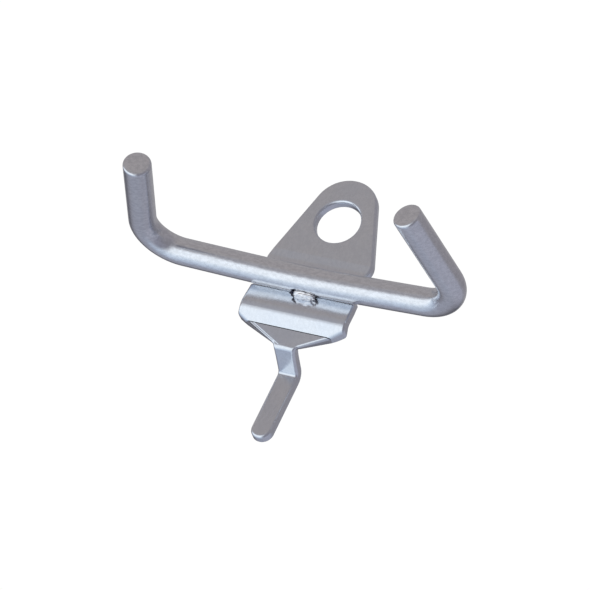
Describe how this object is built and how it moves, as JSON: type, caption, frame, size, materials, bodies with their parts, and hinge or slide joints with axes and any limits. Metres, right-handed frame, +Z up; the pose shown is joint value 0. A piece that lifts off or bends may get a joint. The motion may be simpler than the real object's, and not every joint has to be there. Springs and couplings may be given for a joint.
{
  "type": "pegboard hook",
  "caption": "Double-arm pegboard hook: a bent round rod welded across a pressed plate with a fixing hole and a tail prong.",
  "frame": {"origin": "centre of the fixing hole, on the face of the plate that lies against the board", "axes": "+X along the rod's crossbar, +Y into the board, +Z up"},
  "size_m": [0.0612, 0.0345, 0.0483],
  "materials": {
    "zinc_sheet": "bright zinc plate on pressed steel sheet",
    "zinc_rod": "bright zinc plate on drawn steel rod",
    "zinc_weld": "zinc-plated weld metal"
  },
  "bodies": {
    "root": {"back_plate": "zinc_sheet", "hook_rod": "zinc_rod", "weld_bead": "zinc_weld"}
  },
  "joints": []
}
